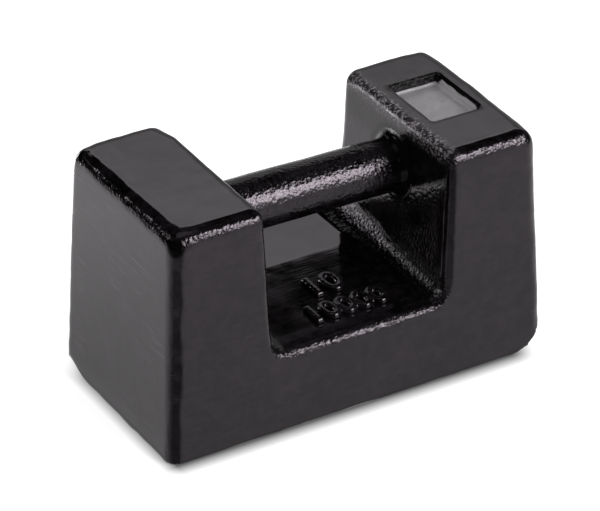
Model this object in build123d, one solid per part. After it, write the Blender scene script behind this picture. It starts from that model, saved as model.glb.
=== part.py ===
"""Rectangular bar weight of 10 kg: an iron casting with a grip bar between its two uprights.

The base block, the uprights and the grip bar are one pour. One upright holds the adjusting
cavity, which opens on the upright's top face. Lead shot lies in the cavity, a steel plate with
a conical hole rests on a ledge over it, and lead driven in over the plate seals the weight and
takes the stamp.

Millimetres. Origin at the centre of the base, +X along the grip bar, +Z up.
"""

from build123d import *
import os
from math import radians, sqrt, tan

# Outer form of the casting
base_length = 193.0
base_width = 100.0
height = 111.0
end_draft = 2.7  # degrees, each end face
side_draft = 2.0  # degrees, front and back faces
upright_edge_radius = 6.0
top_edge_radius = 4.8
base_edge_radius = 1.0
base_end_radius = 19.0  # lower edge of the +X end

# Saddle between the uprights
saddle_floor_height = 39.0
saddle_floor_length = 86.8
saddle_draft = 2.75  # degrees, each inner wall
saddle_corner_radius = 6.0
saddle_rim_radius = 3.5

# Grip bar
bar_diameter = 24.2
bar_axis_height = 86.0
bar_root_radius = 4.0

# Recess for the seal, and the adjusting cavity under it
recess_length = 25.0  # along X, at the mouth
recess_width = 36.5  # along Y, at the mouth
recess_depth = 12.0
recess_offset = 2.7  # how far the core lies towards +Y
recess_undercut = 0.6  # how far each wall leans out at the ledge, which keys the lead
recess_corner_radius = 2.0
recess_mouth_radius = 0.9
ledge_width = 3.0
cavity_depth = 34.0  # below the ledge
cavity_corner_radius = 3.0

# Closing plate
plate_thickness = 3.0
plate_clearance = 0.2
plate_hole_diameter = 7.0  # at the plate's upper face
plate_hole_lean = 18.0  # degrees, each side: the hole widens downwards

# Lead seal
seal_thickness = 4.0
seal_lip_height = 1.4
seal_lip_width = 1.5
seal_clearance = 0.05

# Adjusting shot
shot_diameter = 8.0
shot_gap = 0.08
upper_layer_count = 2  # shot that lie in the pockets of the lower layer

# Worked out from the sizes above
top_length = base_length - 2 * height * tan(radians(end_draft))
top_width = base_width - 2 * height * tan(radians(side_draft))
end_lean = tan(radians(end_draft))
saddle_lean = tan(radians(saddle_draft))
recess_lean = recess_undercut / recess_depth
ledge_level = height - recess_depth
cavity_floor_level = ledge_level - cavity_depth
plate_top_level = ledge_level + plate_thickness


def saddle_length_at(level):
    """The gap between the inner walls at a level."""
    return saddle_floor_length + 2 * (level - saddle_floor_height) * saddle_lean


recess_centre = Location(((saddle_length_at(height) + top_length) / 4, recess_offset, 0))


def recess_section(level, inset=0.0):
    """The recess at a level, drawn in by an inset all round. Its walls lean out on the way down."""
    growth = 2 * (height - level) * recess_lean - 2 * inset
    outline = RectangleRounded(recess_length + growth, recess_width + growth, recess_corner_radius)
    return recess_centre * Pos(0, 0, level) * outline


def cavity_section(level):
    """The adjusting cavity at a level, narrower than the recess by the ledge."""
    length = recess_length - 2 * ledge_width
    width = recess_width - 2 * ledge_width
    outline = RectangleRounded(length, width, cavity_corner_radius)
    return recess_centre * Pos(0, 0, level) * outline


def casting_block():
    """The drafted block before anything is cut from it, with its outer edges rounded."""
    base = Rectangle(base_length, base_width)
    top = Pos(0, 0, height) * Rectangle(top_length, top_width)
    block = loft([base, top], ruled=True)
    corners = block.edges().filter_by(lambda edge: edge.bounding_box().size.Z > height / 2)
    block = fillet(corners, upright_edge_radius)
    block = fillet(block.faces().sort_by(Axis.Z)[-1].edges(), top_edge_radius)
    block = fillet(block.faces().sort_by(Axis.Z)[0].edges(), base_edge_radius)
    return block - base_end_cutter()


def base_end_cutter():
    """What the rounding takes off the lower edge of the +X end: the corner outside its arc."""
    radius = base_end_radius
    slope = sqrt(1 + end_lean**2)
    centre = (base_length / 2 - radius * (end_lean + slope), radius)
    tangent = (centre[0] + radius / slope, centre[1] + radius * end_lean / slope)
    past_end = base_length / 2 + radius
    corner = Polygon(
        centre,
        (centre[0], -radius),
        (past_end, -radius),
        (past_end, tangent[1]),
        tangent,
        align=None,
    )
    return extrude(Plane.XZ * (corner - Pos(*centre) * Circle(radius)), amount=base_width, both=True)


def saddle_cutter():
    """The gap between the uprights, as a prism that runs past the top, front and back faces."""
    past_top = height + top_edge_radius
    half_floor = saddle_floor_length / 2
    half_top = saddle_length_at(past_top) / 2
    outline = Polygon(
        (-half_floor, saddle_floor_height),
        (half_floor, saddle_floor_height),
        (half_top, past_top),
        (-half_top, past_top),
        align=None,
    )
    outline = fillet(outline.vertices().sort_by(Axis.Y)[:2], saddle_corner_radius)
    return extrude(Plane.XZ * outline, amount=base_width, both=True)


def grip_bar():
    """The bar, long enough to end inside both uprights."""
    bar_length = saddle_length_at(bar_axis_height) + bar_diameter
    return Pos(0, 0, bar_axis_height) * Cylinder(bar_diameter / 2, bar_length, rotation=(0, 90, 0))


def recess_cutter():
    """The dovetailed recess, run on past the top face."""
    past_top = height + recess_mouth_radius
    return loft([recess_section(ledge_level), recess_section(past_top)], ruled=True)


def cast_body():
    """The one-piece casting: base block, two uprights and grip bar, with its cored pockets."""
    block = casting_block()
    saddle = saddle_cutter()
    body = block - saddle
    body = fillet(new_edges(block, saddle, combined=body), saddle_rim_radius)

    bar = grip_bar()
    joined = body + bar
    body = fillet(new_edges(body, bar, combined=joined), bar_root_radius)

    recess = recess_cutter()
    pocketed = body - recess
    body = fillet(new_edges(body, recess, combined=pocketed), recess_mouth_radius)
    return body - extrude(cavity_section(cavity_floor_level), amount=cavity_depth)


def plate_hole(inset=0.0):
    """The conical hole through the closing plate, drawn in by an inset all round."""
    upper_radius = plate_hole_diameter / 2 - inset
    lower_radius = upper_radius + plate_thickness * tan(radians(plate_hole_lean))
    centre_level = ledge_level + plate_thickness / 2
    return recess_centre * Pos(0, 0, centre_level) * Cone(lower_radius, upper_radius, plate_thickness)


def closing_plate():
    """The steel plate, small enough to pass the recess's mouth, on the ledge."""
    outline = RectangleRounded(
        recess_length - 2 * plate_clearance,
        recess_width - 2 * plate_clearance,
        recess_corner_radius,
    )
    plate = extrude(recess_centre * Pos(0, 0, ledge_level) * outline, amount=plate_thickness)
    return plate - plate_hole()


def lead_seal():
    """The lead: a dished slab with a raised lip, and a root driven through the plate's hole."""
    flat_level = plate_top_level + seal_thickness
    lip_level = flat_level + seal_lip_height
    slab = loft(
        [recess_section(plate_top_level, seal_clearance), recess_section(lip_level, seal_clearance)],
        ruled=True,
    )
    dish = loft(
        [recess_section(flat_level, 2 * seal_lip_width), recess_section(lip_level, seal_lip_width)],
        ruled=True,
    )
    return slab - dish + plate_hole(seal_clearance)


def adjusting_shot():
    """Lead shot in a square-packed lower layer, with a few more in the pockets above it."""
    pitch = shot_diameter + shot_gap
    columns = int((recess_length - 2 * ledge_width) / pitch)
    rows = int((recess_width - 2 * ledge_width) / pitch)
    lower_level = cavity_floor_level + shot_gap + shot_diameter / 2
    upper_level = lower_level + pitch / sqrt(2)
    places = Pos(0, 0, lower_level) * GridLocations(pitch, pitch, columns, rows)
    if min(columns, rows) > 1:
        pockets = Pos(0, 0, upper_level) * GridLocations(pitch, pitch, columns - 1, rows - 1)
        places += pockets[:upper_layer_count]
    return [recess_centre * place * Sphere(shot_diameter / 2) for place in places]


pieces = {
    "cast_body": cast_body(),
    "closing_plate": closing_plate(),
    "lead_seal": lead_seal(),
    "adjusting_shot": Compound(adjusting_shot()),
}

os.makedirs("parts", exist_ok=True)
for name, piece in pieces.items():
    export_step(piece, f"parts/{name}.step")
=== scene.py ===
"""Looks of a black-enamelled cast-iron calibration weight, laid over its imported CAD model.

The casting is remeshed finely and pressed onto a distance field of its own shape, so its rims are as soft and
uneven as on a painted casting. The lead seal is a hammered mesh, and the raised figures are their own piece.
The plate and the lead shot keep their CAD solids. Lengths in this file are in millimetres unless they say metres;
texture scales in the materials are per metre. A pair of numbers named a span is where a ramp starts and ends.
"""
import math

import bpy
import numpy as np
from mathutils import Matrix, Vector


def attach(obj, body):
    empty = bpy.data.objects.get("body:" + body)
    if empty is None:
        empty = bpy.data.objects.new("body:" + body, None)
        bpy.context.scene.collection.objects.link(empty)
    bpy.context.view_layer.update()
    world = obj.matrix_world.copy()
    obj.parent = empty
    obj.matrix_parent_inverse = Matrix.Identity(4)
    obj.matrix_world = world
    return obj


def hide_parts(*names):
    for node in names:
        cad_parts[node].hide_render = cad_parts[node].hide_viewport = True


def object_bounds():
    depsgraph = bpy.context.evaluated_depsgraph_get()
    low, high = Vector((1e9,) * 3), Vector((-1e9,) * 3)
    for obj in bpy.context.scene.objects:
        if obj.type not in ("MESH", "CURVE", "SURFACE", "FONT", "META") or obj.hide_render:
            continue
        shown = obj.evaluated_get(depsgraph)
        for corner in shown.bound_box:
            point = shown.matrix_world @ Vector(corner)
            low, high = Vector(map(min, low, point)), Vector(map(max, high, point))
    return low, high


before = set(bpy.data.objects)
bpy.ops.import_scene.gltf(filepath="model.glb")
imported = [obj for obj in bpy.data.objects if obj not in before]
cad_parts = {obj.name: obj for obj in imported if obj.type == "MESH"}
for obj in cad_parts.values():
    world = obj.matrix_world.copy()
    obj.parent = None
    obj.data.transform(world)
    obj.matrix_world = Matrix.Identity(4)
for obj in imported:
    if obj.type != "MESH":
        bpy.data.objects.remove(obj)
cad_low, cad_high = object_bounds()

MM = 0.001  # metres in a millimetre
BODY = "root"
BLACK, WHITE = (0, 0, 0, 1), (1, 1, 1, 1)

# ---------------------------------------------------------------- sizes of the casting
base_length = 193.0
base_width = 100.0
height = 111.0
end_draft = math.radians(2.7)
side_draft = math.radians(2.0)
upright_edge_radius = 6.0
top_edge_radius = 4.8
top_front_extra = 1.0          # how much softer the top edge is along the front
top_front_span = (15, 40)
top_end_extra = 1.4            # along the left end
top_end_span = (80, 90)
top_corner_extra = 1.4         # and at the uprights' corners
top_corner_span = (4.0, 15.0)
base_edge_radius = 1.0
base_end_radius = 17.5         # of the right end's lower edge
base_back_radius = 7.5         # of the left end's lower edge, where it reaches the back
base_back_span = (28, 48)

saddle_floor_length = 86.8
saddle_draft = math.radians(2.75)
saddle_corner_radius = 6.0     # of the corner between its floor and its walls
saddle_corner_back_extra = 5.0
saddle_corner_back_span = (0, 30)
saddle_front_height = 38.7     # of the floor at its front edge
saddle_crown_rise = 2.1        # the floor climbs this much from its front edge to its crown
saddle_crown_y = 15.0
floor_rim_radius = 3.6
floor_back_rim_radius = 1.5
floor_back_rim_span = (-10, 10)
wall_rim_radius = 3.8          # of the saddle's vertical rims in front
wall_rim_span = (42, 50)
back_rim_radius = 7.0          # and at the back
back_rim_span = (30, 44)
back_rim_rise_span = (46, 60)
top_rim_radius = 2.8           # of the inner rims at the uprights' tops
top_rim_span = (98, 106)

bar_radius = 12.5
bar_height = 86.3
bar_slope = -0.022             # the cast bar climbs a little towards -X
bar_root_radius = 4.0
bar_buried_at = saddle_floor_length * 0.65    # its ends lie this far out, inside the uprights
bar_skin_span = (46, 50)       # the bar's kind of skin ends here, along X

recess_center = (69.06, 2.7)
recess_size = (25.0, 36.5)
recess_corner_radius = 1.2
recess_mouth_radius = 0.6
recess_undercut = 0.6
recess_floor = 99.0

painted_shade_spot_center = (-90.5, -46.0, 106.0)    # of the spot of painted shade on the front left corner
painted_shade_spot_span = (4.3, 5.8)
inner_rim_x = 47.0             # the middle of the right upright's inner top rim

remesh_voxel = 1.15
press_steps = 5
lump_table_size = 64


# ---------------------------------------------------------------- distance fields
def meet(a, b, radius):
    """Field of the intersection of two solids, with its edge rounded to the radius."""
    return np.minimum(np.maximum(a, b), -radius) + np.hypot(np.maximum(a + radius, 0), np.maximum(b + radius, 0))


def join(a, b, radius):
    """Field of the union of two solids, with its corner filled to the radius."""
    return np.maximum(np.minimum(a, b), radius) - np.hypot(np.maximum(radius - a, 0), np.maximum(radius - b, 0))


def cut(a, b, radius):
    """Field of solid a less solid b, with the new rim rounded to the radius."""
    return meet(a, -b, radius)


def ramp(value, start, end):
    """0 before start, 1 after end, smooth between."""
    t = np.clip((value - start) / (end - start), 0, 1)
    return t * t * (3 - 2 * t)


def band(value, rise, fall):
    """1 between two spans: it rises over the first and falls over the second."""
    return ramp(value, *rise) * (1 - ramp(value, *fall))


def block_field(x, y, z):
    """The drafted block with its rounded edges, before the saddle is cut."""
    end_lean, end_rise = math.cos(end_draft), math.sin(end_draft)
    ends = (np.abs(x) - base_length / 2) * end_lean + z * end_rise
    sides = (np.abs(y) - base_width / 2) * math.cos(side_draft) + z * math.sin(side_draft)
    corner = 1 - ramp(np.maximum(-ends, -sides), *top_corner_span)
    top_radius = top_edge_radius + top_front_extra * ramp(-y, *top_front_span)
    top_radius = top_radius + top_end_extra * ramp(-x, *top_end_span) + top_corner_extra * corner
    block = meet(meet(ends, sides, upright_edge_radius), z - height, top_radius)
    right_end = (x - base_length / 2) * end_lean + z * end_rise
    left_end = (-x - base_length / 2) * end_lean + z * end_rise
    left_radius = base_edge_radius + (base_back_radius - base_edge_radius) * ramp(y, *base_back_span)
    foot = np.maximum(meet(right_end, -z, base_end_radius), meet(left_end, -z, left_radius))
    return np.maximum(meet(block, -z, base_edge_radius), foot)


def saddle_floor_at(y):
    """Height of the saddle's floor, which climbs from the front edge and is level behind the bar."""
    climb = (y + base_width / 2) / (saddle_crown_y + base_width / 2)
    return saddle_front_height + saddle_crown_rise * np.clip(climb, 0, 1)


def saddle_field(x, y, z):
    """The space between the uprights, above the saddle's floor."""
    reach = saddle_floor_length / 2 + (z - saddle_front_height) * math.tan(saddle_draft)
    walls = (np.abs(x) - reach) * math.cos(saddle_draft)
    corner = saddle_corner_radius + saddle_corner_back_extra * ramp(y, *saddle_corner_back_span)
    return meet(walls, saddle_floor_at(y) - z, corner)


def from_bar(x, y, z):
    """Distance from the grip bar's skin, as if the bar had no ends."""
    return np.hypot(y, z - bar_height - bar_slope * x) - bar_radius


def bar_field(x, y, z):
    return np.maximum(from_bar(x, y, z), np.abs(x) - bar_buried_at)


def recess_field(x, y, z):
    """The undercut sealing recess, open at the top."""
    flare = recess_undercut * np.clip((height - z) / (height - recess_floor), 0, 1)
    across = np.abs(x - recess_center[0]) - recess_size[0] / 2 - flare
    along = np.abs(y - recess_center[1]) - recess_size[1] / 2 - flare
    return np.maximum(meet(across, along, recess_corner_radius), recess_floor - z)


def body_field(points):
    """Distance from the casting's surface, less than 0 inside the iron."""
    x, y, z = points.T
    behind = ramp(y, *back_rim_span)
    floor_rim = floor_rim_radius + (floor_back_rim_radius - floor_rim_radius) * ramp(y, *floor_back_rim_span)
    rim = floor_rim + (wall_rim_radius - floor_rim) * ramp(z, *wall_rim_span)
    rim = rim + (back_rim_radius - wall_rim_radius) * behind * ramp(z, *back_rim_rise_span)
    rim = rim + (top_rim_radius - wall_rim_radius) * ramp(z, *top_rim_span) * (1 - behind)
    iron = cut(block_field(x, y, z), saddle_field(x, y, z), rim)
    iron = join(iron, bar_field(x, y, z), bar_root_radius)
    return cut(iron, recess_field(x, y, z), recess_mouth_radius)


def field_slope(field, points, step=0.05):
    """Gradient of a field at the points."""
    slope = np.empty_like(points)
    for axis in range(3):
        shift = np.zeros(3)
        shift[axis] = step
        slope[:, axis] = (field(points + shift) - field(points - shift)) / (2 * step)
    return slope


def lumps(points, size, seed):
    """Smooth seeded noise between 0 and 1, with lumps of the size given."""
    count = lump_table_size
    table = np.random.default_rng(seed).uniform(0, 1, (count, count, count))
    place = points / size + 0.37 * seed    # moved, so that no two lattices share their corners
    cell = np.floor(place).astype(int)
    t = place - cell
    t = t * t * (3 - 2 * t)
    total = np.zeros(len(points))
    for corner in np.ndindex(2, 2, 2):
        index = (cell + corner) % count
        weight = np.prod(np.where(corner, t, 1 - t), axis=1)
        total += weight * table[index[:, 0], index[:, 1], index[:, 2]]
    return total


# ---------------------------------------------------------------- mesh helpers
def mesh_points(mesh):
    points = np.empty(len(mesh.vertices) * 3)
    mesh.vertices.foreach_get("co", points)
    return points.reshape(-1, 3) / MM


def set_mesh_points(mesh, points):
    mesh.vertices.foreach_set("co", (points * MM).ravel())
    mesh.update()


def new_object(name, mesh):
    made = bpy.data.objects.new(name, mesh)
    bpy.context.scene.collection.objects.link(made)
    return made


def applied(source):
    """A mesh of the object with its modifiers applied."""
    graph = bpy.context.evaluated_depsgraph_get()
    return bpy.data.meshes.new_from_object(source.evaluated_get(graph))


def add_remesh(piece, voxel):
    modifier = piece.modifiers.new("even", "REMESH")
    modifier.mode = "VOXEL"
    modifier.voxel_size = voxel * MM
    modifier.use_smooth_shade = True


def add_attribute(mesh, name, values):
    mesh.attributes.new(name, "FLOAT", "POINT").data.foreach_set("value", values)


def remeshed(source, name, voxel):
    """A new object: the source's solid as an even mesh."""
    worked = new_object(name, source.data.copy())
    add_remesh(worked, voxel)
    even = applied(worked)
    worked.modifiers.clear()
    worked.data = even
    return worked


# ---------------------------------------------------------------- the casting
def face_alignment(normals):
    """How closely each normal matches one of the casting's flat faces; 1 is flat."""
    flats = [(s * math.cos(end_draft), 0, math.sin(end_draft)) for s in (-1, 1)]
    flats += [(0, s * math.cos(side_draft), math.sin(side_draft)) for s in (-1, 1)]
    flats += [(0, 0, 1), (0, 0, -1)]
    return (normals @ np.array(flats).T).max(axis=1)


def near_bar(points, start, end):
    """1 on the grip bar, falling to 0 between the two distances from it."""
    x, y, z = points.T
    return (1 - ramp(from_bar(x, y, z), start, end)) * (1 - ramp(np.abs(x), *bar_skin_span))


def on_saddle(points):
    """1 on the saddle's floor and walls, falling to 0 inside the iron."""
    return 1 - ramp(saddle_field(*points.T), 0.8, 3.0)


def beside_recess(points):
    """How far each point lies outside the recess's mouth, across the top."""
    x, y = points[:, 0], points[:, 1]
    across = np.abs(x - recess_center[0]) - recess_size[0] / 2
    along = np.abs(y - recess_center[1]) - recess_size[1] / 2
    return np.maximum(across, along)


def surface_waves(points, edge):
    """How far the painted skin stands out from the plain shape: nearly flat on faces, uneven along rims."""
    x, y, z = points.T
    # The faces only sink, so that they stay in the solid's box.
    flat = 0.06 * (lumps(points, 14, 1) - 1) + 0.02 * (lumps(points, 5, 2) - 1)
    broad, middle = lumps(points, 13, 5) - 0.5, lumps(points, 6, 3) - 0.5
    rim = 0.55 * broad + 0.28 * middle + 0.12 * (lumps(points, 3, 4) - 0.5)
    bar = 0.25 * broad + 0.06 * middle
    # The recess's mouth keeps its place round the lead.
    calm = np.where(z > 90, ramp(beside_recess(points), 1.0, 4.0), 1.0)
    # The saddle's lower corners in front of the bar are smoother than its rims.
    corner = band(np.abs(x), (35, 38), (44, 48)) * band(z, (36, 39), (50, 56)) * band(y, (-42, -38), (4, 14))
    calm = calm * (1 - 0.85 * corner)
    share = np.maximum(edge, near_bar(points, 0.5, 3.0))
    return flat + share * calm * (rim + (bar - rim) * near_bar(points, 1.5, 7.0))


def upright_edge(points):
    """1 near the vertical edges, which are smooth."""
    y, z = points[:, 1], points[:, 2]
    return ramp(height - z, 6, 12) * ramp(np.abs(y), base_width / 2 - 14, base_width / 2 - 8)


def rim_pebbles(points, edge):
    """How strongly the paint is pebbled along the casting's rims."""
    x, y, z = points.T
    uneven = 0.45 + 0.4 * lumps(points, 22, 6)
    # Rims are smooth where they meet the top, except the right upright's inner rim.
    inner_rim = (1 - ramp(np.abs(x - inner_rim_x), 3, 7)) * ramp(z, height - 12, height - 8)
    uneven = uneven * np.maximum(0.1 + 0.9 * ramp(height - z, 1.0, 3.5), inner_rim)
    top_corner = ramp(np.abs(x), 84, 89) * ramp(np.abs(y), 38, 43) * ramp(z, 98, 103)
    uneven = uneven * (1 - 0.85 * top_corner)
    share = edge * uneven * (1 - 0.5 * ramp(np.abs(x), 84, 90))
    return share * (1 - 0.8 * upright_edge(points))


def pebble_share(points, edge):
    """How strongly the paint is pebbled: along rims and in the saddle's corners, and a little on its walls."""
    x, y, z = points.T
    share = rim_pebbles(points, edge)
    saddle = on_saddle(points)
    lower_saddle = saddle * (1 - ramp(z, 90, 100))
    corner = lower_saddle * (1 - ramp(z, 46, 54)) * ramp(np.abs(x), 35, 41)
    wall = lower_saddle * ramp(np.abs(x), 38, 42) * (1 - upright_edge(points))
    wall_above_bar = saddle * ramp(z, 88, 94) * ramp(np.abs(x), 42, 44)
    share = np.where(corner > 0.5, np.minimum(share, 0.45), share)
    share = np.maximum(share, (0.12 + 0.2 * ramp(-y, -5, 20)) * corner)
    share = np.maximum(share, 0.1 * np.maximum(wall, wall_above_bar))
    front_rim = edge * ramp(-y, 38, 44) * band(z, (25, 32), (42, 50)) * (1 - ramp(np.abs(x), 46, 52))
    share = np.where(front_rim > 0.3, 0.6 * front_rim, share)
    on_bar = near_bar(points, 0.5, 2.0) * (1 - ramp(np.abs(x), 36, 41))
    share = np.maximum(share * (1 - 0.9 * near_bar(points, 2.0, 6.0)), 0.36 * on_bar)
    outside = beside_recess(points)
    return share * ramp(outside, 0.5, 3.0) + 0.25 * (outside < 1.5) * (z < height - 1)


def painted_glint_share(points):
    """Where specks of painted highlight lie on the paint: the right upright's inner top rim and the recess's back
    wall.
    """
    x, y, z = points.T
    rim = (1 - ramp(np.abs(x - inner_rim_x), 2.0, 6.5)) * ramp(z, height - 9.0, height - 2.0)
    rim = rim * (0.65 + 0.6 * lumps(points, 5, 8)) * ramp(base_width / 2 - np.abs(y), 4.0, 12.0)
    recess_back = (np.abs(beside_recess(points)) < 1.5) * ramp(y, recess_center[1] + 16, recess_center[1] + 18)
    return np.maximum(rim, 0.16 * recess_back * ramp(z, 100, 103))


def painted_shade_share(points):
    """Where painted shade makes the paint black and dims its gloss: the recess's back and right walls, the bar's
    roots, the saddle's corners and a spot on the front left corner."""
    x, y, z = points.T
    ragged = 2.2 * lumps(points, 2.5, 9) * ramp(y, recess_center[1] + 12, recess_center[1] + 17)
    recess = (1 - ramp(beside_recess(points) - ragged, 0.4, 1.2)) * ramp(z, 90, 95)
    recess = recess * np.maximum(ramp(y, recess_center[1] + 12, recess_center[1] + 16),
                                 ramp(x, recess_center[0] + 7, recess_center[0] + 11))
    root = near_bar(points, 4.0, 9.0) * ramp(np.abs(x), 37, 41) * ramp(z, bar_height - 8, bar_height + 4)
    saddle = on_saddle(points)
    upper_wall = saddle * ramp(np.abs(x), 40, 42) * ramp(z, 88, 96)
    behind_bar = np.maximum(0.8 * root, 0.35 * upper_wall) * ramp(height - z, 3, 7)
    corner = saddle * (1 - ramp(z, 46, 54)) * ramp(np.abs(x), 35, 38) * band(y, (-46, -40), (-8, 10))
    painted_shade_spot = 1 - ramp(np.linalg.norm(points - np.array(painted_shade_spot_center), axis=1), *painted_shade_spot_span)
    return np.max([recess, behind_bar, 0.85 * corner, painted_shade_spot], axis=0)


def cast_iron_body():
    """The casting as a fine mesh: pressed onto its field, given its waves, and marked for its paint."""
    body = remeshed(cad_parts["cast_body"], "cast_iron_body", remesh_voxel)
    points = mesh_points(body.data)
    # The field has no cavity, so the points round the cavity and the plate's ledge stay where they are.
    free = ~((beside_recess(points) < 6) & (points[:, 2] > 40) & (points[:, 2] < recess_floor + 1))
    moved = points[free]
    for _ in range(press_steps):
        slope = field_slope(body_field, moved)
        square = np.maximum((slope ** 2).sum(axis=1), 0.05)
        step = np.clip(body_field(moved), -1, 1) / square
        moved = moved - slope * step[:, None]
    slope = field_slope(body_field, moved)
    normals = slope / np.linalg.norm(slope, axis=1)[:, None]
    edge = ramp(1 - face_alignment(normals), 0.003, 0.05)
    shares = {"edge_relief": pebble_share(moved, edge), "painted_glints": painted_glint_share(moved), "painted_shade_mask": painted_shade_share(moved)}
    points[free] = moved + normals * surface_waves(moved, edge)[:, None]
    low, high = np.array(cad_low) / MM, np.array(cad_high) / MM
    set_mesh_points(body.data, np.clip(points, low, high))
    for name, share in shares.items():
        values = np.zeros(len(points))
        values[free] = share
        add_attribute(body.data, name, values)
    return body


# ---------------------------------------------------------------- materials
class Nodes:
    """A short way to write a node tree."""

    def __init__(self, tree):
        self.tree = tree
        tree.nodes.clear()

    def add(self, kind, settings=None, **inputs):
        node = self.tree.nodes.new(kind)
        for name, value in (settings or {}).items():
            setattr(node, name, value)
        for name, value in inputs.items():
            self.put(node.inputs[name.replace("_", " ")], value)
        return node

    def put(self, socket, value):
        if isinstance(value, bpy.types.NodeSocket):
            self.tree.links.new(value, socket)
        else:
            socket.default_value = value

    def place(self):
        """The point's place in its object, in metres."""
        return self.add("ShaderNodeTexCoord").outputs["Object"]

    def attribute(self, name):
        return self.add("ShaderNodeAttribute", {"attribute_name": name}).outputs["Fac"]

    def axes(self, place):
        node = self.add("ShaderNodeSeparateXYZ")
        self.put(node.inputs[0], place)
        return node.outputs

    def bump(self, height_mm):
        node = self.add("ShaderNodeBump", Distance=MM, Strength=1.0)
        self.put(node.inputs["Height"], height_mm)
        return node.outputs[0]

    def material_output(self, surface):
        self.put(self.add("ShaderNodeOutputMaterial").inputs["Surface"], surface)

    def math(self, operation, *values):
        node = self.tree.nodes.new("ShaderNodeMath")
        node.operation = operation
        for socket, value in zip(node.inputs, values):
            self.put(socket, value)
        return node.outputs[0]

    def span(self, value, start, end, low=0.0, high=1.0, smooth=True):
        """A ramp from low at start to high at end."""
        node = self.tree.nodes.new("ShaderNodeMapRange")
        node.interpolation_type = "SMOOTHSTEP" if smooth else "LINEAR"
        for socket, given in zip(node.inputs, (value, start, end, low, high)):
            self.put(socket, given)
        return node.outputs[0]

    def noise(self, place, scale, detail=2.0, distortion=0.0, roughness=0.5):
        node = self.add("ShaderNodeTexNoise", Scale=scale, Detail=detail, Distortion=distortion, Roughness=roughness)
        self.put(node.inputs["Vector"], place)
        return node.outputs[0]

    def cells(self, place, scale, smoothness):
        node = self.add("ShaderNodeTexVoronoi", {"feature": "SMOOTH_F1"}, Scale=scale, Smoothness=smoothness)
        self.put(node.inputs["Vector"], place)
        return node.outputs["Distance"]

    def turned(self, place, rotation, scale):
        node = self.add("ShaderNodeMapping", Rotation=rotation, Scale=scale)
        self.put(node.inputs["Vector"], place)
        return node.outputs[0]

    def mix_color(self, factor, a, b):
        node = self.add("ShaderNodeMix", {"data_type": "RGBA"})
        self.put(node.inputs["Factor"], factor)
        self.put(node.inputs[6], a)
        self.put(node.inputs[7], b)
        return node.outputs[2]


def new_material(name):
    material = bpy.data.materials.new(name)
    material.use_nodes = True
    return material, Nodes(material.node_tree)


def finish_material(nodes, shader_settings):
    """Ends a material in a Principled shader with the sockets given."""
    shader = nodes.add("ShaderNodeBsdfPrincipled")
    for name, value in shader_settings.items():
        nodes.put(shader.inputs[name], value)
    nodes.material_output(shader.outputs[0])


enamel_black = (0.0008, 0.0007, 0.0008, 1)
enamel_grey = (0.0150, 0.0126, 0.0146, 1)
enamel_gloss_tint = (1.0, 0.885, 0.985, 1)
scratch_grey = (0.090, 0.084, 0.090, 1)
# Painted shade: the colour and the dimmed gloss where the mesh asks for shade.
painted_shade_black = (0.002, 0.002, 0.002, 1)
painted_shade_gloss_tint = (0.05, 0.05, 0.05, 1)
# The colour of the painted highlight specks on the right upright's inner top rim and the recess's back wall.
painted_glint_grey = (0.24, 0.22, 0.235, 1)
pebble_mean, pebble_height = 0.35, 0.58      # heights in millimetres
grit_mean, grit_height = 0.5, 0.46
stroke_height = 0.012
right_end_scratches = 0.45                   # next to those of the left end
face_scratches = 0.12


def enamel_bump(n, place, strokes):
    """Pebbles and grit where edge_relief asks for them, and brush strokes everywhere."""
    rims = n.attribute("edge_relief")
    pebble = n.math("MULTIPLY", n.math("SUBTRACT", n.cells(place, 640, 0.7), pebble_mean), pebble_height)
    grit = n.math("MULTIPLY", n.math("SUBTRACT", n.noise(place, 900, 2.0, 0.8), grit_mean), grit_height)
    relief = n.math("MULTIPLY", rims, n.math("ADD", pebble, grit))
    return n.bump(n.math("ADD", relief, n.math("MULTIPLY", strokes, stroke_height)))


def enamel_scratches(n, place):
    """Fine scratches along Y, in patches: mostly on the left end, fewer on the right end and the faces."""
    lines = n.span(n.noise(n.turned(place, (0, 0, 0), (200, 45, 1900)), 1.0, 1.0), 0.64, 0.71)
    along = n.axes(place)[0]
    at_end = n.span(n.math("ABSOLUTE", along), 0.088, 0.092, face_scratches, 1.0)
    at_end = n.math("MULTIPLY", at_end, n.span(along, 0.0, 0.01, 1.0, right_end_scratches))
    return n.math("MULTIPLY", n.math("MULTIPLY", lines, at_end), n.span(n.noise(place, 34, 1.0), 0.45, 0.55))


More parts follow.
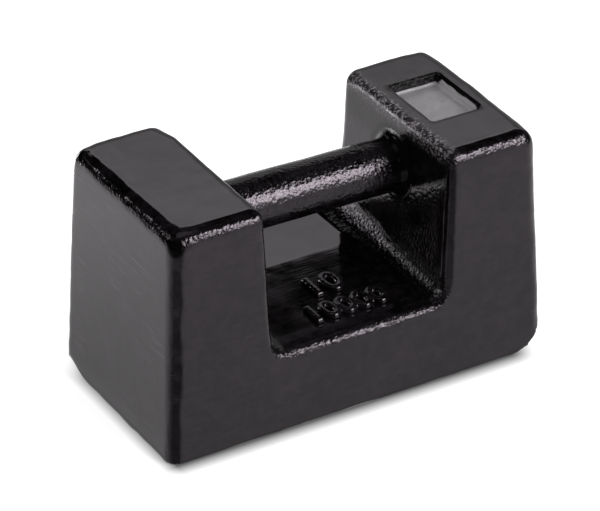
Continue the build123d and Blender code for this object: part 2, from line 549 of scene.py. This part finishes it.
def enamel_material():
    """Brushed-on black gloss enamel over a cast skin: smooth on the flats, pebbled along the rims."""
    material, n = new_material("black_gloss_enamel")
    place = n.place()
    painted_glint_mask = n.attribute("painted_glints")
    painted_shade_mask = n.attribute("painted_shade_mask")
    strokes = n.noise(n.turned(place, (0.35, 0.6, 0.2), (70, 900, 900)), 1.0, 3.0)
    patch = n.noise(place, 38, 2.0)

    mottle = n.span(n.noise(place, 160, 5.0, 0.4, 0.7), 0.40, 0.62)
    tint = n.math("ADD", n.span(strokes, 0.42, 0.66, 0, 0.2), n.math("MULTIPLY", mottle, 0.4))
    tint = n.math("ADD", tint, n.span(patch, 0.4, 0.7, 0, 0.25))
    color = n.mix_color(tint, enamel_black, enamel_grey)
    color = n.mix_color(n.math("MULTIPLY", enamel_scratches(n, place), 0.8), color, scratch_grey)
    speckle = n.span(n.noise(place, 700, 2.0, 0.6), 0.53, 0.60)
    # Painted highlight: light specks where the mesh's attribute asks for them.
    painted_glint_specks = n.math("MULTIPLY", painted_glint_mask, n.math("ADD", 0.06, n.math("MULTIPLY", speckle, 0.94)))
    # Painted shade: black paint and dim gloss in the recess, at the bar's roots, in the saddle's corners and on the
    # front left corner.
    color = n.mix_color(painted_shade_mask, color, painted_shade_black)
    color = n.mix_color(painted_glint_specks, color, painted_glint_grey)
    dull = n.math("ADD", n.math("MULTIPLY", painted_glint_mask, 0.15), n.math("MULTIPLY", painted_shade_mask, 0.10))
    finish_material(n, {
        "Base Color": color,
        "Roughness": n.math("ADD", n.span(patch, 0.35, 0.7, 0.05, 0.10), dull),
        "IOR": 1.5,
        "Specular Tint": n.mix_color(painted_shade_mask, enamel_gloss_tint, painted_shade_gloss_tint),
        "Normal": enamel_bump(n, place, strokes),
    })
    return material


# The colour of the painted highlight along the seal's back and right lips.
lead_highlight_grey = (0.86, 0.83, 0.87, 1)
lead_rough = 0.42
seal_dark, seal_light = (0.47, 0.451, 0.479, 1), (0.54, 0.518, 0.549, 1)
shot_dark, shot_light = (0.16, 0.16, 0.17, 1), (0.28, 0.28, 0.29, 1)
steel_grey, steel_stain = (0.34, 0.34, 0.35, 1), (0.24, 0.22, 0.20, 1)


def lead_material(name, dark, light):
    """Soft grey blotched lead, lighter where the mesh asks for a painted highlight."""
    material, n = new_material(name)
    place = n.place()
    blotch = n.noise(place, 180, 4.0, 0.4)
    grain = n.noise(place, 1500, 3.0)
    color = n.mix_color(n.span(blotch, 0.35, 0.68), dark, light)
    # Painted highlight along the seal's lips.
    color = n.mix_color(n.math("MULTIPLY", n.attribute("painted_lip_highlight"), 0.6), color, lead_highlight_grey)
    finish_material(n, {
        "Base Color": color,
        "Metallic": 0.5,
        "Roughness": n.span(grain, 0.3, 0.7, lead_rough - 0.07, lead_rough + 0.08),
        "Normal": n.bump(n.math("ADD", n.math("MULTIPLY", grain, 0.008), n.math("MULTIPLY", blotch, 0.02))),
    })
    return material


def steel_material():
    """Cold-rolled plate: grey steel with rolling lines and brown stains."""
    material, n = new_material("rolled_steel")
    place = n.place()
    lines = n.noise(n.turned(place, (0, 0, 0.1), (60, 2200, 60)), 1.0, 3.0)
    stain = n.noise(place, 90, 3.0)
    finish_material(n, {
        "Base Color": n.mix_color(n.span(stain, 0.4, 0.65), steel_grey, steel_stain),
        "Metallic": 1.0,
        "Roughness": n.span(lines, 0.3, 0.7, 0.28, 0.45),
        "Normal": n.bump(n.math("MULTIPLY", lines, 0.01)),
    })
    return material


# ---------------------------------------------------------------- the lead seal
seal_bottom = 102.0
seal_flat = 106.2
seal_spacing = 0.4
seal_gap = 0.05
seal_back_lip = 0.9
seal_right_lip = 3.7
seal_low_lip = 0.5                # on the left and in front
seal_lip_reach = 1.5
seal_pit = (5.0, 2.0)             # the punch mark's place from the seal's middle
seal_pit_depth = 0.7


def seal_height(x, y):
    """Height of the hammered lead at points given from the seal's middle."""
    flat = np.column_stack([x, y, np.zeros_like(x)])
    half_x, half_y = recess_size[0] / 2, recess_size[1] / 2
    wander = 0.3 * (lumps(flat, 4, 21) - 0.5)
    right = np.clip(1 - (half_x - x + wander) / seal_lip_reach, 0, 1) ** 2
    back = np.clip(1 - (half_y - y + wander) / seal_lip_reach, 0, 1) ** 2
    low = np.clip(1 - np.minimum(half_x + x, half_y + y) / seal_lip_reach, 0, 1) ** 2
    dents = 0.16 * lumps(flat, 7, 22) + 0.04 * lumps(flat, 2.2, 23)
    pit = seal_pit_depth * np.exp(-((x - seal_pit[0]) ** 2 + (y - seal_pit[1]) ** 2) / 0.5)
    right = right * ramp(half_y - np.abs(y), 0.0, 5.0)
    return seal_flat + seal_right_lip * right + seal_back_lip * back + seal_low_lip * low + dents - pit


def seal_lip_highlight(x, y):
    """How much painted highlight lightens the lead: along its back and right lips."""
    flat = np.column_stack([x, y, np.zeros_like(x)])
    from_back = recess_size[1] / 2 - y + 0.8 * (lumps(flat, 3, 24) - 0.5)
    from_right = recess_size[0] / 2 - x + 0.8 * (lumps(flat, 3, 25) - 0.5)
    return 1 - ramp(np.minimum(from_back, from_right), 1.3, 2.1)


def lead_seal():
    """The seal as a closed mesh: a fine grid on top, a flat underside and walls between."""
    half_x, half_y = recess_size[0] / 2 - seal_gap, recess_size[1] / 2 - seal_gap
    columns, rows = int(2 * half_x / seal_spacing), int(2 * half_y / seal_spacing)
    xs, ys = np.meshgrid(np.linspace(-half_x, half_x, columns), np.linspace(-half_y, half_y, rows))
    xs, ys = xs.ravel(), ys.ravel()
    top = np.column_stack([xs + recess_center[0], ys + recess_center[1], seal_height(xs, ys)])
    under = top.copy()
    under[:, 2] = seal_bottom
    faces = []
    for row in range(rows - 1):
        for column in range(columns - 1):
            a = row * columns + column
            quad = (a, a + 1, a + columns + 1, a + columns)
            faces.append(quad)
            faces.append(tuple(columns * rows + k for k in reversed(quad)))
    border = list(range(columns)) + [row * columns + columns - 1 for row in range(1, rows)]
    border += [(rows - 1) * columns + k for k in range(columns - 2, -1, -1)]
    border += [row * columns for row in range(rows - 2, 0, -1)]
    for a, b in zip(border, border[1:] + border[:1]):
        faces.append((b, a, columns * rows + a, columns * rows + b))
    mesh = bpy.data.meshes.new("hammered_lead_seal")
    mesh.from_pydata((np.vstack([top, under]) * MM).tolist(), [], faces)
    mesh.shade_smooth()
    add_attribute(mesh, "painted_lip_highlight", np.tile(seal_lip_highlight(xs, ys), 2))
    return new_object("hammered_lead_seal", mesh)


# ---------------------------------------------------------------- the raised figures
figure_rows = (("10", 14.0, (-7.0, -17.0)), ("10000", 12.0, (-17.0, -35.0)))   # text, height, left end of its line
figure_font_scale = 1.35          # font size over the height of its figures
figure_rise = 2.8
figure_sunk = 0.8
figure_bevel = 1.6
figure_thinning = 0.5
figure_voxel = 0.4
figure_smoothing = 15
figure_relief = 0.15


def raised_figures():
    """Plain cast numbers on the saddle's floor, with soft edges."""
    parts = []
    for text, size, (left, base) in figure_rows:
        font = bpy.data.curves.new("figures", "FONT")
        font.body = text
        font.size = size * MM * figure_font_scale
        font.extrude = ((figure_rise + figure_sunk) / 2 - figure_bevel) * MM
        font.offset = -figure_thinning * MM
        font.bevel_depth = figure_bevel * MM
        font.bevel_resolution = 3
        text_object = new_object("figures", font)
        mesh = applied(text_object)
        bpy.data.objects.remove(text_object)
        middle = float(saddle_floor_at(np.array(base))) + (figure_rise - figure_sunk) / 2
        mesh.transform(Matrix.Translation(Vector((left, base, middle)) * MM))
        parts.append(mesh)
    joined = new_object("raised_figures", parts[0])
    other = new_object("figures", parts[1])
    with bpy.context.temp_override(active_object=joined, selected_editable_objects=[joined, other]):
        bpy.ops.object.join()
    add_remesh(joined, figure_voxel)
    joined.modifiers.new("soft", "SMOOTH").iterations = figure_smoothing
    mesh = applied(joined)
    joined.modifiers.clear()
    joined.data = mesh
    add_attribute(mesh, "edge_relief", np.full(len(mesh.vertices), figure_relief))
    return joined


# ---------------------------------------------------------------- camera
camera_azimuth = math.radians(-30.66)
camera_elevation = math.radians(31.31)
camera_distance = 1675.9
camera_aim = (-1.98, 43.80)        # right and up of the origin, across the view
camera_focal_pixels = 3711.07
image_width = 600
sensor_width = 36.0


def make_camera():
    a, e = camera_azimuth, camera_elevation
    back = Vector((math.sin(a) * math.cos(e), -math.cos(a) * math.cos(e), math.sin(e)))
    right = Vector((math.cos(a), math.sin(a), 0))
    up = back.cross(right)
    data = bpy.data.cameras.new("camera")
    data.sensor_width = sensor_width
    data.lens = camera_focal_pixels * sensor_width / image_width
    data.clip_start, data.clip_end = 0.01, 100
    camera = bpy.data.objects.new("camera", data)
    bpy.context.scene.collection.objects.link(camera)
    camera.rotation_mode = "QUATERNION"
    turn = Matrix((right, up, back)).transposed()
    camera.rotation_quaternion = turn.to_quaternion()
    camera.location = (right * camera_aim[0] + up * camera_aim[1] + back * camera_distance) * MM
    bpy.context.scene.camera = camera


# ---------------------------------------------------------------- studio
floor_half = 6000.0
floor_color = (0.9, 0.9, 0.9, 1)
floor_glow = 0.68              # added for the eye alone, so that the table is white
contact_shade = 0.88           # how much of the table's light is lost under the weight
contact_front = (-9.0, 0.0)    # where that shade starts and where it is full, inwards from each lower edge
contact_behind = (2.0, 22.0)
contact_left = (-5.2, 3.2)
contact_right = (2.0, 18.0)

# Gloss looks through the table at the world, darker close to the weight.
contact_corner = 9.0           # rounding of the distance from the weight's outline
mirror_reach = 150.0           # the mirror image has its full strength this far from the weight
mirror_left = 0.58             # its strength beside the weight, on the shaded left
mirror_front = 0.82            # and in front
mirror_turn = 12.0             # half the stretch over which one becomes the other
mirror_contact = 0.55          # factor at the very foot
mirror_contact_span = (0.3, 3.0)

ambient_level = 0.55           # radiance of the world for diffuse light
# Bearings are in degrees from the front, growing towards the left; heights are degrees above the horizon.
table_span, table_level = (3, -16), 1.1
left_lit_span = (62, 112)      # bearings where the table comes to full light
right_lit_span = (6, -30)
behind_lit_span = (-150, -170)
unlit_near = 0.22              # level of the dim stretch of table close to the weight
unlit_far = 0.45               # and of its far part
unlit_span = (-0.30, -0.42)    # from far to close, in the Z of the direction
backdrop_bearing = Vector((0.51, 0.86, 0))
backdrop_sides = (34, 28)      # degrees off its bearing
backdrop_top = (34.4, 33.0)
backdrop_rise = (26, 32)       # it brightens between these heights
backdrop_low, backdrop_high = 0.36, 1.16
backdrop_foot = (-0.45, -0.40)    # in the Z of the direction
key_toward = Vector((0.436, -0.748, 0.50))
key_level = 13.0               # radiance of the large soft key, as gloss mirrors it
key_bottom = (10, 27)
key_top = (48, 35)
key_sides = (0.34, 0.16)       # off its middle, in the X of the direction
key_front = (-0.05, -0.30)     # in its Y
glow_bottom = (-10, 0)         # of a faint glow under the key
glow_top = (24, 12)
ceiling_level = 0.4            # of the patch of ceiling straight above
ceiling_span = (0.93, 0.96)    # in the Z of the direction

lamp_distance = 1500.0
key_size, key_lamp_radiance = (800, 975), 4.0
fill_toward = Vector((-0.60, 0.62, 0.50))
fill_size, fill_radiance = (200, 200), 3.5
card_place, card_aim = (-114, 204, 70), (42, 22, 44)     # a low card, mirrored in the saddle's right corner
card_size, card_radiance = (46, 110), 6.0


def seen_directly(n, path):
    """1 for the eye, also through glass."""
    return n.math("MAXIMUM", path.outputs["Is Camera Ray"], path.outputs["Is Transmission Ray"])


def outline_gap(n, along, across):
    """Distance in metres from the weight's rounded outline on the table."""
    corner = contact_corner * MM
    squares = []
    for axis, half in ((along, base_length / 2 * MM), (across, base_width / 2 * MM)):
        beyond = n.math("MAXIMUM", n.math("SUBTRACT", n.math("ABSOLUTE", axis), half - corner), 0.0)
        squares.append(n.math("MULTIPLY", beyond, beyond))
    return n.math("SUBTRACT", n.math("SQRT", n.math("ADD", *squares)), corner)


def table_shade(n, along, across):
    """1 under the weight, falling to 0 round its foot, where little light reaches the table."""
    half_length, half_width = base_length / 2, base_width / 2
    front = n.span(across, *[(-half_width + edge) * MM for edge in contact_front], smooth=False)
    behind = n.span(across, *[(half_width - edge) * MM for edge in contact_behind])
    left = n.span(along, *[(-half_length + edge) * MM for edge in contact_left], smooth=False)
    right = n.span(along, *[(half_length - edge) * MM for edge in contact_right])
    return n.math("MULTIPLY", n.math("MULTIPLY", front, behind), n.math("MULTIPLY", left, right))


def table_mirror(n, along, across):
    """How much of the world's light the table's place gives to gloss."""
    gap = outline_gap(n, along, across)
    corner_x = -base_length / 2
    beside = n.span(along, (corner_x - mirror_turn) * MM, (corner_x + mirror_turn) * MM, mirror_left, mirror_front)
    rise = n.span(gap, 0.0, mirror_reach * MM, smooth=False)
    mirror = n.math("ADD", beside, n.math("MULTIPLY", n.math("SUBTRACT", 1.0, beside), rise))
    start, end = mirror_contact_span
    return n.math("MULTIPLY", mirror, n.span(gap, start * MM, end * MM, mirror_contact, 1.0))


def floor_material():
    """A white table with the weight's contact shade; gloss sees the world through it."""
    material, n = new_material("white_table")
    path = n.add("ShaderNodeLightPath")
    along, across, _ = n.axes(n.place())
    open_light = n.math("SUBTRACT", 1.0, n.math("MULTIPLY", table_shade(n, along, across), contact_shade))
    diffuse = n.add("ShaderNodeBsdfDiffuse")
    n.put(diffuse.inputs["Color"], n.mix_color(open_light, BLACK, floor_color))
    eye = n.math("MULTIPLY", seen_directly(n, path), floor_glow)
    glow = n.add("ShaderNodeEmission")
    n.put(glow.inputs["Strength"], n.math("MULTIPLY", eye, open_light))
    both = n.add("ShaderNodeAddShader")
    n.put(both.inputs[0], diffuse.outputs[0])
    n.put(both.inputs[1], glow.outputs[0])
    clear = n.add("ShaderNodeBsdfTransparent")
    n.put(clear.inputs["Color"], n.mix_color(table_mirror(n, along, across), BLACK, WHITE))
    mix = n.add("ShaderNodeMixShader")
    n.put(mix.inputs[0], path.outputs["Is Glossy Ray"])
    n.put(mix.inputs[1], both.outputs[0])
    n.put(mix.inputs[2], clear.outputs[0])
    n.material_output(mix.outputs[0])
    return material


def make_floor():
    corners = [(-1, -1, 0), (1, -1, 0), (1, 1, 0), (-1, 1, 0)]
    mesh = bpy.data.meshes.new("white_table")
    mesh.from_pydata([Vector(c) * floor_half * MM for c in corners], [], [(0, 1, 2, 3)])
    mesh.materials.append(floor_material())
    new_object("white_table", mesh)


def turns(span):
    return [math.radians(degrees) for degrees in span]


def heights(span):
    return [math.sin(math.radians(degrees)) for degrees in span]


def mirrored_table(n, x, y, z):
    """The lit table round the weight, with a dim stretch in front and to the left."""
    bearing = n.math("ARCTAN2", n.math("MULTIPLY", x, -1.0), n.math("MULTIPLY", y, -1.0))
    left_lit = n.span(bearing, *turns(left_lit_span), 0.0, 1.0, smooth=False)
    right_lit = n.span(bearing, *turns(right_lit_span))
    behind_lit = n.span(bearing, *turns(behind_lit_span))
    lit_side = n.math("MAXIMUM", n.math("MAXIMUM", left_lit, right_lit), behind_lit)
    unlit = n.span(z, *unlit_span, unlit_far, unlit_near)
    lit_side = n.math("ADD", unlit, n.math("MULTIPLY", lit_side, n.math("SUBTRACT", 1.0, unlit)))
    table = n.span(z, *heights(table_span), 0.0, table_level)
    across = n.math("ADD", n.math("MULTIPLY", x, backdrop_bearing.x), n.math("MULTIPLY", y, -backdrop_bearing.y))
    table = n.math("MULTIPLY", table, n.math("SUBTRACT", 0.92, n.math("MULTIPLY", across, 0.10)))
    return n.math("MULTIPLY", table, lit_side)


def mirrored_backdrop(n, x, y, z):
    """The backdrop behind the weight, brighter towards its top."""
    level = n.math("SQRT", n.math("SUBTRACT", 1.0, n.math("MULTIPLY", z, z)))
    toward = n.math("ADD", n.math("MULTIPLY", x, backdrop_bearing.x), n.math("MULTIPLY", y, backdrop_bearing.y))
    toward = n.math("DIVIDE", toward, n.math("MAXIMUM", level, 0.001))
    back = n.span(toward, *[math.cos(angle) for angle in turns(backdrop_sides)])
    back = n.math("MULTIPLY", back, n.span(z, *heights(backdrop_top)))
    rise = n.span(z, *heights(backdrop_rise), backdrop_low, backdrop_high, smooth=False)
    return n.math("MULTIPLY", n.math("MULTIPLY", back, rise), n.span(z, *backdrop_foot))


def mirrored_key(n, x, y, z):
    """The large soft key in front, the faint glow under it and the patch of ceiling."""
    aside = n.math("ABSOLUTE", n.math("SUBTRACT", x, key_toward.x))
    in_front = n.math("MULTIPLY", n.span(aside, *key_sides), n.span(y, *key_front))
    key = n.math("MULTIPLY", n.span(z, *heights(key_bottom)), n.span(z, *heights(key_top)))
    glow = n.math("MULTIPLY", n.span(z, *heights(glow_bottom)), n.span(z, *heights(glow_top)))
    lit = n.math("MULTIPLY", in_front, n.math("ADD", n.math("MULTIPLY", key, key_level), glow))
    return n.math("ADD", lit, n.span(z, *ceiling_span, 0.0, ceiling_level))


def make_world():
    """Even light for the shading, white for the eye, and a lit table and backdrop for the reflections."""
    world = bpy.data.worlds.new("studio")
    bpy.context.scene.world = world
    world.use_nodes = True
    n = Nodes(world.node_tree)
    path = n.add("ShaderNodeLightPath")
    x, y, z = n.axes(n.add("ShaderNodeTexCoord").outputs["Generated"])
    around = n.math("MAXIMUM", mirrored_table(n, x, y, z), mirrored_backdrop(n, x, y, z))
    studio = n.math("ADD", around, mirrored_key(n, x, y, z))
    seen = seen_directly(n, path)
    glossy = path.outputs["Is Glossy Ray"]
    plain = n.math("MULTIPLY", n.math("SUBTRACT", 1.0, n.math("MAXIMUM", seen, glossy)), ambient_level)
    strength = n.math("ADD", n.math("ADD", seen, plain), n.math("MULTIPLY", glossy, studio))
    background = n.add("ShaderNodeBackground", Color=WHITE)
    n.put(background.inputs["Strength"], strength)
    n.put(n.add("ShaderNodeOutputWorld").inputs["Surface"], background.outputs[0])


def add_lamp(name, place, aim, size, radiance):
    """A soft box facing the aim, with its width, height and radiance given."""
    data = bpy.data.lights.new(name, "AREA")
    data.shape = "RECTANGLE"
    data.size, data.size_y = size[0] * MM, size[1] * MM
    data.energy = radiance * math.pi * data.size * data.size_y
    lamp = bpy.data.objects.new(name, data)
    bpy.context.scene.collection.objects.link(lamp)
    lamp.location = Vector(place) * MM
    lamp.rotation_mode = "QUATERNION"
    lamp.rotation_quaternion = (Vector(place) - Vector(aim)).to_track_quat("Z", "Y")
    lamp.visible_camera = False
    return lamp


def make_studio():
    """The table, the world and three lamps; gloss mirrors the world's key, not the key's lamp."""
    make_floor()
    make_world()
    middle = Vector((0, 0, height / 2))
    key_place = middle + key_toward.normalized() * lamp_distance
    add_lamp("key_softbox", key_place, middle, key_size, key_lamp_radiance).visible_glossy = False
    fill_place = middle + fill_toward.normalized() * lamp_distance
    add_lamp("fill_softbox", fill_place, middle, fill_size, fill_radiance)
    add_lamp("low_card", card_place, card_aim, card_size, card_radiance).visible_diffuse = False
    bpy.context.scene.view_settings.view_transform = "Standard"


# ---------------------------------------------------------------- build
def dress(piece, material):
    piece.data.materials.clear()
    piece.data.materials.append(material)
    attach(piece, BODY)


def repaint(node, material):
    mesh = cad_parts[node].data
    mesh.materials.clear()
    mesh.materials.append(material)


def main():
    make_camera()
    make_studio()
    enamel = enamel_material()
    body = cast_iron_body()
    dress(body, enamel)
    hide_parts("cast_body")
    figures = raised_figures()
    dress(figures, enamel)
    seal = lead_seal()
    dress(seal, lead_material("hammered_lead", seal_dark, seal_light))
    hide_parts("lead_seal")
    repaint("closing_plate", steel_material())
    repaint("adjusting_shot", lead_material("cast_shot", shot_dark, shot_light))


main()
